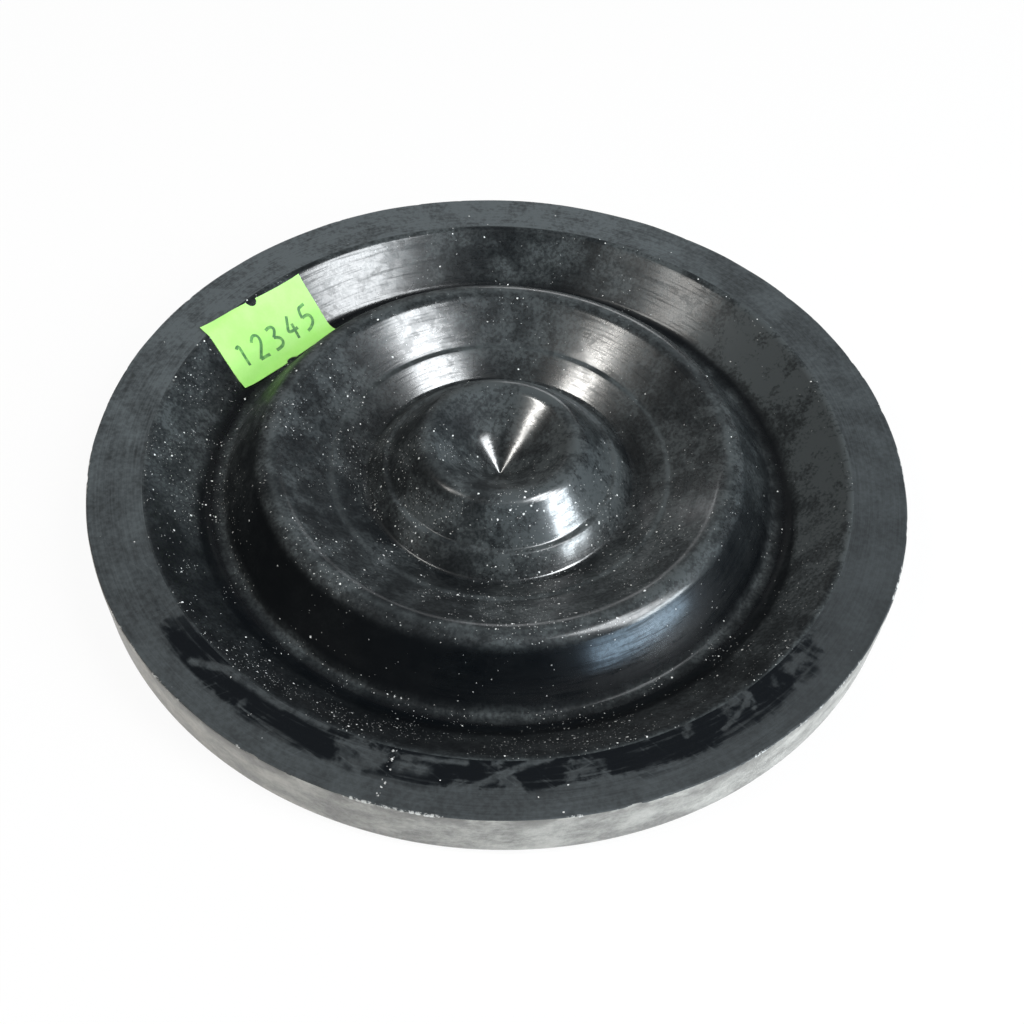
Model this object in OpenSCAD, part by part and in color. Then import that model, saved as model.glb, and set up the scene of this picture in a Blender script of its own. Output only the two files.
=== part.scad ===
// Pump diaphragm: one moulded rubber disc with a flat clamping rim, a ring-shaped ridge
// and a dimpled middle boss, and a paper price label on the slope inside the rim.
// Millimetres. The disc's axis is Z, and the seat face under its rim lies on z = 0.

/* [Rim] */
// Diameter over the rim
outer_d = 155; // [146:1:185]
// Thickness of the rim, from its seat face to its top face
rim_h = 12; // [10.5:0.5:16]
// Round where the flat top face breaks into the slope
rim_inner_round = 2; // [0.5:0.5:4]
// Round on the top outer edge, where the flash was trimmed
rim_trim_round = 0.4; // [0.2:0.1:1.5]
// Round on the bottom outer edge
rim_foot_round = 2; // [0.5:0.25:4]

/* [Web] */
// Thickness of the flexing web
web_t = 2.8; // [2:0.1:3.4]
// Radial run of the slope, from the trough's flat floor to the rim's top face
slope_run = 11.7; // [10:0.1:14]
// Round where the slope sweeps into the trough's floor
sweep_round = 3.2; // [1.5:0.1:4]
// Width of the trough's flat floor
trough_w = 1.1; // [0.4:0.1:3]
// Round where the trough's floor meets the foot of the ridge
foot_round = 1.2; // [0.5:0.1:2.5]

/* [Ridge] */
// Radial run from the ridge's top line to the trough's floor
ridge_run = 10.7; // [9:0.1:13]
// Height of the ridge above the rim's top face
ridge_rise = 1.15; // [0:0.05:4]
// Round over the top of the ridge
ridge_round = 4; // [3.5:0.25:5]

/* [Bowl] */
// Radial run from the groove round the boss up to the ridge's top line
bowl_run = 17.2; // [15:0.1:21]
// Round along the bottom of the groove
groove_round = 1; // [0.5:0.25:2]
// Height of the narrow step on both walls of the groove, above the groove's floor
step_h = 3.75; // [3:0.05:5]
// Width of the flat of the step
step_w = 0.3; // [0.1:0.1:1]
// Rounds at both corners of the step
step_round = 0.8; // [0.3:0.1:1]
// Radial run from the groove's lowest line to the step on the bowl's wall
bowl_step_run = 6.2; // [5.5:0.1:7.5]
// Radial run from the groove's lowest line to the step on the boss's wall
boss_step_run = 4.3; // [3.8:0.1:5.2]

/* [Boss] */
// Diameter of the boss along the top line of its lip
boss_d = 28.8; // [24:0.1:34]
// Radial run from the top line of the lip to the groove's lowest line
boss_run = 12.3; // [11:0.1:15]
// Height of the lip above the rim's top face
boss_rise = 1.75; // [0:0.05:4]
// Round over the lip
lip_round = 3.2; // [1.5:0.1:4]
// Round at the bottom of the cone-shaped dimple
dimple_tip_round = 0.6; // [0.3:0.1:2]
// Height of the flat under the boss above the seat face
pad_lift = 0.25; // [0:0.05:1]

/* [Label] */
// Length of the label
label_l = 26; // [20:0.5:32]
// Width of the label
label_w = 16; // [10:0.5:18]
// Thickness of the paper
label_t = 0.15; // [0.1:0.05:0.4]
// Thickness of the glue film under the paper
glue_t = 0.03; // [0.02:0.01:0.1]
// Place of the label round the disc, in degrees from +X
label_azimuth = 147; // [0:1:359]
// Distance of its outer long edge from the rim's top face, along the rubber
label_set = 0.8; // [0.2:0.1:2]
// Turn of the label away from lying square to the rim, in degrees
label_turn = -8; // [-15:1:15]
// Diameter of the half-round nick in each long edge
nick_d = 2.5; // [1:0.25:4]

/* [Hidden] */

rubber_black = [0.1, 0.1, 0.1];
label_green = [0.66, 0.98, 0.42];

// Smoothness of the revolved faces, and the turn of one facet of an arc in the section
$fn = 180;
arc_step = 10;

// Radii of the section's lines, counted out from the axis
boss_r = boss_d / 2;
groove_r = boss_r + boss_run;
ridge_r = groove_r + bowl_run;
foot_r = ridge_r + ridge_run;
sweep_r = foot_r + trough_w;
rim_inner_r = sweep_r + slope_run;
outer_r = outer_d / 2;
boss_step_r = groove_r - boss_step_run;
bowl_step_r = groove_r + bowl_step_run;

// Heights above the seat face
trough_floor = web_t;
groove_floor = pad_lift + web_t;
step_top = groove_floor + step_h;
ridge_top = rim_h + ridge_rise;
boss_top = rim_h + boss_rise;

// Inside round of the hollow under the ridge, which leaves one web over it
roof_round = max(ridge_round - web_t, 0.5);

// The section is a chain of arcs joined by the straights that touch them. An arc is its
// centre and a radius, which is positive where the rubber bulges and negative where it dips.
// A post is a bare point: it stands at an end of a chain and aims the straight there.
function dip(r, floor, radius) = [r, floor + radius, -radius];
function bulge(r, top, radius) = [r, top - radius, radius];
function post(r, z) = [r, z, 0];

dimple = dip(0, groove_floor, dimple_tip_round);
lip = bulge(boss_r, boss_top, lip_round);
groove = dip(groove_r, groove_floor, groove_round);
ridge = bulge(ridge_r, ridge_top, ridge_round);
foot = dip(foot_r, trough_floor, foot_round);
sweep = dip(sweep_r, trough_floor, sweep_round);
rim_inner = bulge(rim_inner_r, rim_h, rim_inner_round);
rim_trim = bulge(outer_r - rim_trim_round, rim_h, rim_trim_round);
rim_foot = [outer_r - rim_foot_round, rim_foot_round, rim_foot_round];

boss_step = [
    dip(boss_step_r - step_w / 2, step_top, step_round),
    bulge(boss_step_r + step_w / 2, step_top, step_round)
];
bowl_step = [
    bulge(bowl_step_r - step_w / 2, step_top, step_round),
    dip(bowl_step_r + step_w / 2, step_top, step_round)
];

// Along the top from the axis to the rim, then back underneath, one web below the top
inner_arcs = concat([post(0, groove_floor), dimple, lip], boss_step, [groove], bowl_step);
outer_arcs = [ridge, foot, sweep, rim_inner, rim_trim];
under_arcs = [
    rim_foot,
    [foot.x, foot.y, foot_round + web_t],
    [ridge.x, ridge.y, -roof_round],
    [groove.x, groove.y, groove_round + web_t],
    post(0, pad_lift)
];

// Along the top from the crest of the ridge to the rim's outer edge, and to the rim's inner edge
crest_to_edge = concat([post(ridge.x, ridge_top)], outer_arcs, [post(rim_trim.x, rim_h)]);
crest_to_rim = [post(ridge.x, ridge_top), ridge, foot, sweep, rim_inner, post(rim_inner.x, rim_h)];

function heading(a) = [cos(a), sin(a)];
function wrapped(a) = a - 360 * floor((a + 180) / 360);
function reversed(list) = [for (i = [len(list) - 1 : -1 : 0]) list[i]];

// Angle of the normal on the straight that touches arc a and then arc b
function link_angle(a, b) =
    let (step = [b.x - a.x, b.y - a.y], lean = (a.z - b.z) / norm(step))
    atan2(step.y, step.x) + acos(min(max(lean, -1), 1));

// Points round one arc as its normal turns from one angle to another, set off outwards
function arc_points(arc, from, to, off) =
    let (turn = wrapped(to - from), steps = ceil(round(abs(turn) * 100) / 100 / arc_step))
    [for (i = [0 : steps])
        [arc.x, arc.y] + (arc.z + off) * heading(from + turn * i / max(steps, 1))];

// Points along the arcs of a chain, between the posts at its ends
function chain_points(chain, off = 0) =
    [for (i = [1 : len(chain) - 2]) each arc_points(
        chain[i],
        link_angle(chain[i - 1], chain[i]),
        link_angle(chain[i], chain[i + 1]),
        off)];

// The whole moulding: its section turned about the axis
module diaphragm() {
    color(rubber_black)
    rotate_extrude()
        polygon(concat(
            chain_points(concat(inner_arcs, outer_arcs, under_arcs)),
            [[0, pad_lift]]));
}

// Radius that the paper reaches when its width is laid along the points from point i on
function paper_end(points, i, width) =
    let (step = points[i + 1] - points[i])
    norm(step) >= width
        ? (points[i] + step * width / norm(step)).x
        : paper_end(points, i + 1, width - norm(step));

// Radii of the middles of the label's long edges, laid inwards from the rim's top face
slope_points = reversed(chain_points(crest_to_rim));
label_outer_r = paper_end(slope_points, 0, label_set);
label_inner_r = paper_end(slope_points, 0, label_set + label_w);
label_depth = label_outer_r - label_inner_r;

// The label's outline seen from above, with a half-round nick in each long edge
module label_outline() {
    difference() {
        square([label_depth, label_l], center = true);
        for (side = [-1, 1])
            translate([side * label_depth / 2, 0]) circle(d = nick_d);
    }
}

// The paper follows the rubber from the ridge to the rim, and its outline cuts it out
module price_label() {
    color(label_green)
    intersection() {
        rotate_extrude()
            polygon(concat(
                chain_points(crest_to_edge, glue_t),
                reversed(chain_points(crest_to_edge, glue_t + label_t))));
        rotate(label_azimuth)
        translate([label_outer_r - label_depth / 2, 0])
        rotate(label_turn)
            linear_extrude(height = ridge_top + boss_top)
                label_outline();
    }
}

diaphragm();
price_label();
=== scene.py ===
"""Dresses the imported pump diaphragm: a moulded rubber disc with a paper price label stuck on it.

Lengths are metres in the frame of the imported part: the disc's axis is Z, its seat lies on z = 0
and the camera stands on the -Y side. Sizes given in millimetres are multiplied by MM.
"""

import logging
import math
from bisect import bisect_right
from dataclasses import dataclass
from enum import Enum
from typing import Iterator, Optional, Union

import bpy
from mathutils import Matrix, Vector, noise


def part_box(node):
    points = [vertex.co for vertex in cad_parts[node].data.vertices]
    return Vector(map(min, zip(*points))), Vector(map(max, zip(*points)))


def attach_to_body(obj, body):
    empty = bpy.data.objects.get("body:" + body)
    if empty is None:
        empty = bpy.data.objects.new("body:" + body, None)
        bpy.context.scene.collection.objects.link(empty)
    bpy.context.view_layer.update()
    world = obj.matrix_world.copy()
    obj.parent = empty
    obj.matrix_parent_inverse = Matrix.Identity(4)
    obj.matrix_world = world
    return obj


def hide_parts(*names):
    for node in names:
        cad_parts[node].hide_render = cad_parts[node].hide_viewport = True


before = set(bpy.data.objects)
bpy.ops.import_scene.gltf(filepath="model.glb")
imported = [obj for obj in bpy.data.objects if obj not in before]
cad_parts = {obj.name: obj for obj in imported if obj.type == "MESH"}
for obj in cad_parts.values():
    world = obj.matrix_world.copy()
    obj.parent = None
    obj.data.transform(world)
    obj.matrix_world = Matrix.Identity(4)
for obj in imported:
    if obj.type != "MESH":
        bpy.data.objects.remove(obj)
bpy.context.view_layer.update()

LOG = logging.getLogger("pump_diaphragm")
BODY = "root"
MM = 0.001
HALF = 0.5
# Part of a step by which a round may run over before it gets one more point
STEP_SLACK = 0.01

Socket = bpy.types.NodeSocket
Feed = Union[Socket, float, tuple[float, ...]]
Colour = tuple[float, float, float]
Plan = tuple[float, float]
Direction = tuple[float, float, float]

NEAR: Direction = (0.0, -1.0, 0.0)
LEFT: Direction = (-1.0, 0.0, 0.0)
RIGHT: Direction = (1.0, 0.0, 0.0)
NEAR_LEFT: Direction = (-0.5, -0.866, 0.0)


class Zone(Enum):
    """Parts of the disc's skin that have a finish of their own."""

    BOWL = "bowl_rubber"
    RIM = "rim_rubber"
    WALL = "wall_rubber"
    BACK = "back_rubber"


def opaque(colour: Colour) -> tuple[float, float, float, float]:
    """Adds full alpha to a colour."""
    return (*colour, 1.0)


def deselect_all() -> None:
    """Leaves object mode with nothing selected."""
    if bpy.context.object and bpy.context.object.mode != "OBJECT":
        bpy.ops.object.mode_set(mode="OBJECT")
    bpy.ops.object.select_all(action="DESELECT")


def make_active(piece: bpy.types.Object) -> None:
    """Selects one object alone and makes it the active one.

    Args:
        piece: The object.
    """
    deselect_all()
    piece.select_set(True)
    bpy.context.view_layer.objects.active = piece


def apply_modifier(piece: bpy.types.Object, kind: str, **settings: object) -> None:
    """Adds a modifier to a piece and applies it.

    Args:
        piece: The object to change.
        kind: The modifier's type.
        settings: Values set on the modifier before it is applied.
    """
    make_active(piece)
    modifier = piece.modifiers.new(kind.lower(), kind)
    for name, value in settings.items():
        setattr(modifier, name, value)
    bpy.ops.object.modifier_apply(modifier=modifier.name)


@dataclass(frozen=True)
class SectionPoint:
    """A point on the disc's section, with the angle of the outward normal there."""

    r: float
    z: float
    normal: float


@dataclass(frozen=True)
class Arc:
    """One round of the disc's section.

    Its centre lies at r and z. Its bend is its radius, positive where the rubber bulges, negative
    where it dips, and nought at a bare point that only aims the straight beside it.
    """

    r: float
    z: float
    bend: float = 0.0

    @classmethod
    def bulge(cls, r: float, top: float, radius: float) -> "Arc":
        """Makes a round that bulges up to a height."""
        return cls(r, top - radius, radius)

    @classmethod
    def dip(cls, r: float, floor: float, radius: float) -> "Arc":
        """Makes a round that dips down to a height."""
        return cls(r, floor + radius, -radius)

    def link(self, other: "Arc") -> float:
        """Finds the straight that touches this round and then another.

        Args:
            other: The next round along the section.

        Returns:
            The angle of the straight's outward normal.
        """
        across, rise = other.r - self.r, other.z - self.z
        lean = (self.bend - other.bend) / math.hypot(across, rise)
        return math.atan2(rise, across) + math.acos(min(max(lean, -1.0), 1.0))

    def at(self, angle: float) -> SectionPoint:
        """Gives the point of this round where the normal has an angle."""
        return SectionPoint(
            self.r + self.bend * math.cos(angle), self.z + self.bend * math.sin(angle), angle)

    def sweep(self, before: "Arc", after: "Arc", turn: float) -> Iterator[SectionPoint]:
        """Walks round this arc between the straights that it shares with its neighbours.

        Args:
            before: The round before this one.
            after: The round after it.
            turn: The largest angle between two points.

        Yields:
            The points in order.
        """
        start = before.link(self)
        whole = (self.link(after) - start + math.pi) % math.tau - math.pi
        steps = max(1, math.ceil(abs(whole) / turn - STEP_SLACK))
        for step in range(steps + 1):
            yield self.at(start + whole * step / steps)


@dataclass(frozen=True)
class DiscSection:
    """The disc's section: a chain of rounds joined by the straights that touch them."""

    outer_r: float
    boss_top: float
    rim_h: float = 12 * MM
    web: float = 2.8 * MM
    pad_lift: float = 0.25 * MM
    boss_r: float = 14.4 * MM
    groove_r: float = 26.7 * MM
    ridge_r: float = 43.9 * MM
    foot_r: float = 54.6 * MM
    sweep_r: float = 55.7 * MM
    rim_inner_r: float = 67.4 * MM
    boss_step_r: float = 22.4 * MM
    bowl_step_r: float = 32.9 * MM
    step_h: float = 3.75 * MM
    step_w: float = 0.3 * MM
    step_round: float = 0.8 * MM
    ridge_rise: float = 1.15 * MM
    dimple_round: float = 0.6 * MM
    lip_round: float = 3.2 * MM
    groove_round: float = 1 * MM
    ridge_round: float = 4 * MM
    foot_round: float = 1.2 * MM
    sweep_round: float = 3.2 * MM
    rim_inner_round: float = 2 * MM
    trim_round: float = 0.4 * MM
    rim_foot_round: float = 2 * MM

    @classmethod
    def from_frame(cls) -> "DiscSection":
        """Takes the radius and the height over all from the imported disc."""
        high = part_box("diaphragm")[1]
        return cls(outer_r=high.x, boss_top=high.z)

    @property
    def groove_floor(self) -> float:
        """Height of the lowest line round the boss."""
        return self.pad_lift + self.web

    @property
    def ridge_top(self) -> float:
        """Height of the crest of the ridge."""
        return self.rim_h + self.ridge_rise

    @property
    def groove(self) -> Arc:
        """The round along the bottom of the groove."""
        return Arc.dip(self.groove_r, self.groove_floor, self.groove_round)

    @property
    def ridge(self) -> Arc:
        """The round over the crest of the ridge."""
        return Arc.bulge(self.ridge_r, self.ridge_top, self.ridge_round)

    @property
    def foot(self) -> Arc:
        """The round at the foot of the ridge."""
        return Arc.dip(self.foot_r, self.web, self.foot_round)

    def inner_arcs(self) -> list[Arc]:
        """Gives the rounds from the axis out to the step on the bowl's wall."""
        step_top, half = self.groove_floor + self.step_h, self.step_w / 2
        return [
            Arc.dip(0.0, self.groove_floor, self.dimple_round),
            Arc.bulge(self.boss_r, self.boss_top, self.lip_round),
            Arc.dip(self.boss_step_r - half, step_top, self.step_round),
            Arc.bulge(self.boss_step_r + half, step_top, self.step_round),
            self.groove,
            Arc.bulge(self.bowl_step_r - half, step_top, self.step_round),
            Arc.dip(self.bowl_step_r + half, step_top, self.step_round),
        ]

    def outer_arcs(self) -> list[Arc]:
        """Gives the rounds from the crest of the ridge out to the rim's trimmed edge."""
        return [
            self.ridge,
            self.foot,
            Arc.dip(self.sweep_r, self.web, self.sweep_round),
            Arc.bulge(self.rim_inner_r, self.rim_h, self.rim_inner_round),
            Arc.bulge(self.outer_r - self.trim_round, self.rim_h, self.trim_round),
        ]

    def under_arcs(self) -> list[Arc]:
        """Gives the rounds from the rim's foot back under the web."""
        foot, ridge, groove = self.foot, self.ridge, self.groove
        return [
            Arc(self.outer_r - self.rim_foot_round, self.rim_foot_round, self.rim_foot_round),
            Arc(foot.r, foot.z, self.foot_round + self.web),
            Arc(ridge.r, ridge.z, self.web - self.ridge_round),
            Arc(groove.r, groove.z, self.groove_round + self.web),
        ]

    def outline(self, turn: float, small_turn: float, large_round: float,
                bay: float) -> list[SectionPoint]:
        """Gives the whole section, from the axis along the top and back underneath to the axis.

        Args:
            turn: The largest angle between two points of a large round on the top.
            small_turn: The same on every other round.
            large_round: The radius beyond which a round counts as large.
            bay: The longest straight between two points of the rim's top face and wall.

        Returns:
            The points in order.
        """
        top = [Arc(0.0, self.groove_floor), *self.inner_arcs(), *self.outer_arcs()]
        chain = [*top, *self.under_arcs(), Arc(0.0, self.pad_lift)]
        points: list[SectionPoint] = []
        for before, arc, after in zip(chain, chain[1:], chain[2:]):
            fine = arc in top and abs(arc.bend) > large_round
            walk = list(arc.sweep(before, after, turn if fine else small_turn))
            if points and min(points[-1].r, walk[0].r) > self.rim_inner_r:
                points += self.bays(points[-1], walk[0], bay)
            points += walk
        return [*points, SectionPoint(0.0, self.pad_lift, -math.pi / 2)]

    @staticmethod
    def bays(start: SectionPoint, end: SectionPoint, bay: float) -> Iterator[SectionPoint]:
        """Parts a straight of the section into bays.

        Args:
            start: The straight's first point.
            end: Its last point.
            bay: The longest bay.

        Yields:
            The points between the two ends.
        """
        count = math.ceil(math.hypot(end.r - start.r, end.z - start.z) / bay)
        for step in range(1, count):
            share = step / count
            yield SectionPoint(
                start.r + (end.r - start.r) * share, start.z + (end.z - start.z) * share, end.normal)

    def slope_walk(self, turn: float) -> list[SectionPoint]:
        """Gives the top of the section from the crest of the ridge to the rim's outer edge.

        Args:
            turn: The largest angle between two points of a round.

        Returns:
            The points in order.
        """
        arcs = self.outer_arcs()
        chain = [Arc(self.ridge_r, self.ridge_top), *arcs, Arc(arcs[-1].r, self.rim_h)]
        return [p for before, arc, after in zip(chain, chain[1:], chain[2:])
                for p in arc.sweep(before, after, turn)]


class Wiring:
    """Adds nodes to one node tree and joins their sockets."""

    measures = ("LENGTH", "DISTANCE", "DOT_PRODUCT")

    def __init__(self, tree: bpy.types.NodeTree) -> None:
        """Keeps the tree that the nodes go into."""
        self.tree = tree

    def add(self, kind: str, **settings: object) -> bpy.types.Node:
        """Adds one node.

        Args:
            kind: The node's type.
            settings: Properties set on the node.

        Returns:
            The new node.
        """
        node = self.tree.nodes.new(kind)
        for name, value in settings.items():
            setattr(node, name, value)
        return node

    def feed(self, target: Socket, value: Feed) -> None:
        """Joins a socket to another, or sets the socket's own value.

        Args:
            target: The socket that is fed.
            value: Another socket, or a value.
        """
        if isinstance(value, bpy.types.NodeSocket):
            self.tree.links.new(value, target)
        else:
            target.default_value = value

    def math(self, operation: str, *values: Feed, clamp: bool = False) -> Socket:
        """Adds a Math node.

        Args:
            operation: What it works out.
            values: Its inputs in order.
            clamp: Whether the result stays between nought and one.

        Returns:
            The node's result.
        """
        node = self.add("ShaderNodeMath", operation=operation, use_clamp=clamp)
        for target, value in zip(node.inputs, values):
            self.feed(target, value)
        return node.outputs[0]

    def times(self, *values: Feed) -> Feed:
        """Multiplies several values.

        Args:
            values: What is multiplied.

        Returns:
            The product.
        """
        found = values[0]
        for value in values[1:]:
            found = self.math("MULTIPLY", found, value)
        return found

    def total(self, *values: Feed) -> Feed:
        """Adds several values up and holds the sum between nought and one.

        Args:
            values: What is added up.

        Returns:
            The sum.
        """
        found = values[0]
        for value in values[1:]:
            found = self.math("ADD", found, value, clamp=True)
        return found

    def outside(self, mask: Feed) -> Socket:
        """Turns a mask round: one where it is nought."""
        return self.math("SUBTRACT", 1.0, mask)

    def vector(self, operation: str, *values: Feed) -> Socket:
        """Adds a Vector Math node.

        Args:
            operation: What it works out.
            values: Its vector inputs in order.

        Returns:
            The node's number where it measures something, and otherwise its vector.
        """
        node = self.add("ShaderNodeVectorMath", operation=operation)
        for target, value in zip(node.inputs, values):
            self.feed(target, value)
        return node.outputs["Value" if operation in self.measures else "Vector"]

    def scaled(self, arrow: Feed, factor: Feed) -> Socket:
        """Lengthens a vector by a factor.

        Args:
            arrow: The vector.
            factor: How many times longer it gets.

        Returns:
            The longer vector.
        """
        node = self.add("ShaderNodeVectorMath", operation="SCALE")
        self.feed(node.inputs[0], arrow)
        self.feed(node.inputs["Scale"], factor)
        return node.outputs["Vector"]

    def span(self, value: Feed, low: Feed, high: Feed, start: Feed = 0.0, end: Feed = 1.0) -> Socket:
        """Maps a value smoothly from one span to another, and holds it beyond the ends.

        Args:
            value: What is mapped.
            low: The value that becomes start.
            high: The value that becomes end.
            start: The result at low.
            end: The result at high.

        Returns:
            The mapped value.
        """
        node = self.add("ShaderNodeMapRange", interpolation_type="SMOOTHSTEP")
        for target, given in zip(node.inputs, (value, low, high, start, end)):
            self.feed(target, given)
        return node.outputs[0]

    def grade(self, mask: Feed, off: float, on: float) -> Socket:
        """Gives one value where a mask is nought and another where it is one."""
        return self.span(mask, 0.0, 1.0, off, on)

    def blend(self, share: Feed, first: Feed, second: Feed) -> Socket:
        """Mixes two colours.

        Args:
            share: How much of the second colour there is.
            first: The first colour.
            second: The second colour.

        Returns:
            The mixed colour.
        """
        node = self.add("ShaderNodeMix", data_type="RGBA")
        for index, value in ((0, share), (6, first), (7, second)):
            self.feed(node.inputs[index], opaque(value) if isinstance(value, tuple) else value)
        return node.outputs[2]

    def point(self) -> Socket:
        """Gives the place on the piece, in the part's frame."""
        return self.add("ShaderNodeTexCoord").outputs["Object"]

    def plan(self) -> Socket:
        """Gives the place on the piece as seen from above."""
        return self.vector("MULTIPLY", self.point(), (1.0, 1.0, 0.0))

    def radius(self) -> Socket:
        """Gives the distance from the disc's axis."""
        return self.vector("LENGTH", self.plan())

    def height(self) -> Socket:
        """Gives the height above the seat.

        Returns:
            The height.
        """
        node = self.add("ShaderNodeSeparateXYZ")
        self.feed(node.inputs[0], self.point())
        return node.outputs["Z"]

    def heading(self) -> Socket:
        """Gives the direction of a place from the axis."""
        return self.vector("NORMALIZE", self.plan())

    def toward(self, direction: Direction) -> Socket:
        """Gives how far round a place lies towards a direction: one there, minus one opposite."""
        return self.vector("DOT_PRODUCT", self.heading(), direction)

    def noise(self, size: Feed, detail: float = 3.0, rough: float = 0.55,
              at: Optional[Socket] = None) -> Socket:
        """Adds a Noise Texture on the piece's own coordinates.

        Args:
            size: The size of its largest features.
            detail: How many finer layers it has.
            rough: How strong the finer layers are.
            at: The coordinates to read, if not the place on the piece.

        Returns:
            The noise, about a half on average.
        """
        node = self.add("ShaderNodeTexNoise")
        self.feed(node.inputs["Vector"], at or self.point())
        self.feed(node.inputs["Scale"], self.math("DIVIDE", 1.0, size))
        self.feed(node.inputs["Detail"], detail)
        self.feed(node.inputs["Roughness"], rough)
        return node.outputs["Fac"]

    def fray(self, reach: float) -> Socket:
        """Gives an offset that frays the sides of a mark, by up to about half its reach either way."""
        ragged = self.math("SUBTRACT", self.noise(2 * MM, detail=5.0, rough=0.7), HALF)
        return self.times(ragged, reach)

    def relief(self, height: Socket, depth: float) -> Socket:
        """Turns a height between nought and one into a bumped normal.

        Args:
            height: The height.
            depth: How deep the relief is, in metres.

        Returns:
            The normal.
        """
        node = self.add("ShaderNodeBump")
        self.feed(node.inputs["Distance"], depth)
        self.feed(node.inputs["Height"], height)
        return node.outputs["Normal"]


class Effect:
    """A shader node group that finishes share: named inputs, and one mask over the surface."""

    title: str = ""
    points: tuple[str, ...] = ()
    values: tuple[str, ...] = ()

    def wire(self, w: Wiring, given: bpy.types.NodeOutputs) -> Socket:
        """Adds the effect's nodes.

        Args:
            w: The wiring of the group's tree.
            given: The group's inputs by name.

        Returns:
            The mask.
        """
        raise NotImplementedError

    def group(self) -> bpy.types.NodeTree:
        """Gives the effect's node group, which is built on its first use.

        Returns:
            The node group.
        """
        tree = bpy.data.node_groups.get(self.title)
        if tree is None:
            tree = bpy.data.node_groups.new(self.title, "ShaderNodeTree")
            for name in self.points:
                tree.interface.new_socket(name, in_out="INPUT", socket_type="NodeSocketVector")
            for name in self.values:
                tree.interface.new_socket(name, in_out="INPUT", socket_type="NodeSocketFloat")
            tree.interface.new_socket("Mask", in_out="OUTPUT", socket_type="NodeSocketFloat")
            w = Wiring(tree)
            mask = self.wire(w, w.add("NodeGroupInput").outputs)
            w.feed(w.add("NodeGroupOutput").inputs["Mask"], mask)
        return tree

    def place(self, w: Wiring, **given: Feed) -> Socket:
        """Places the effect in a finish.

        Args:
            w: The wiring of the finish.
            given: The effect's inputs by name.

        Returns:
            The mask.
        """
        node = w.add("ShaderNodeGroup", node_tree=self.group())
        for name, value in given.items():
            w.feed(node.inputs[name], value)
        return node.outputs["Mask"]


class Clouds(Effect):
    """Soft patches, such as bloom on rubber or mottle on paper."""

    title = "clouds"
    values = ("Size", "Low", "High")

    def wire(self, w: Wiring, given: bpy.types.NodeOutputs) -> Socket:
        """Cuts layered noise off between Low and High."""
        return w.span(w.noise(given["Size"], detail=5.0, rough=0.6), given["Low"], given["High"])


class Specks(Effect):
    """Dust: small ragged grains scattered over the surface."""

    title = "specks"
    values = ("Cell", "Grain", "Share")

    def wire(self, w: Wiring, given: bpy.types.NodeOutputs) -> Socket:
        """Puts a grain of a random size into a share of the cells."""
        ragged = w.add("ShaderNodeTexNoise")
        w.feed(ragged.inputs["Vector"], w.point())
        w.feed(ragged.inputs["Scale"], w.math("DIVIDE", 0.7, given["Grain"]))
        shift = w.vector("SUBTRACT", ragged.outputs["Color"], (HALF, HALF, HALF))
        shift = w.scaled(shift, w.times(given["Grain"], 1.6))
        cells = w.add("ShaderNodeTexVoronoi", feature="F1")
        w.feed(cells.inputs["Vector"], w.vector("ADD", w.point(), shift))
        w.feed(cells.inputs["Scale"], w.math("DIVIDE", 1.0, given["Cell"]))
        chance = w.add("ShaderNodeSeparateColor")
        w.feed(chance.inputs[0], cells.outputs["Color"])
        reach = w.math("DIVIDE", given["Grain"], given["Cell"])
        reach = w.times(reach, w.grade(chance.outputs["Green"], 0.35, 1.0))
        inside = w.span(cells.outputs["Distance"], w.times(reach, 0.6), reach, 1.0, 0.0)
        return w.times(inside, w.math("LESS_THAN", chance.outputs["Red"], given["Share"]))


class RingMarks(Effect):
    """Fine marks that run round the disc's axis, as a turned mould leaves them."""

    title = "ring_marks"
    values = ("Pitch", "Turns", "Low", "High")

    def wire(self, w: Wiring, given: bpy.types.NodeOutputs) -> Socket:
        """Stretches noise round the axis: it changes fast with the radius and slowly with the turn."""
        lift = w.add("ShaderNodeCombineXYZ")
        w.feed(lift.inputs["Z"], w.math("DIVIDE", w.radius(), given["Pitch"]))
        at = w.vector("ADD", w.scaled(w.heading(), given["Turns"]), lift.outputs["Vector"])
        return w.span(w.noise(1.0, detail=2.0, rough=0.6, at=at), given["Low"], given["High"])


class Band(Effect):
    """A soft ring round the axis."""

    title = "band"
    values = ("Radius", "Width")

    def wire(self, w: Wiring, given: bpy.types.NodeOutputs) -> Socket:
        """Fades with the distance from the ring's middle line."""
        away = w.math("ABSOLUTE", w.math("SUBTRACT", w.radius(), given["Radius"]))
        return w.span(away, 0.0, w.times(given["Width"], HALF), 1.0, 0.0)


class Wipe(Effect):
    """A mark rubbed along a straight line, as seen from above."""

    title = "wipe"
    points = ("From", "To")
    values = ("Width", "Fray")

    def wire(self, w: Wiring, given: bpy.types.NodeOutputs) -> Socket:
        """Fades with the distance from the line, off by the fray."""
        line = w.vector("SUBTRACT", given["To"], given["From"])
        off = w.vector("SUBTRACT", w.plan(), given["From"])
        along = w.math("DIVIDE", w.vector("DOT_PRODUCT", off, line),
                       w.vector("DOT_PRODUCT", line, line), clamp=True)
        away = w.vector("DISTANCE", off, w.scaled(line, along))
        away = w.math("ADD", away, given["Fray"])
        half = w.times(given["Width"], HALF)
        return w.span(away, w.times(half, 0.2), half, 1.0, 0.0)


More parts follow.
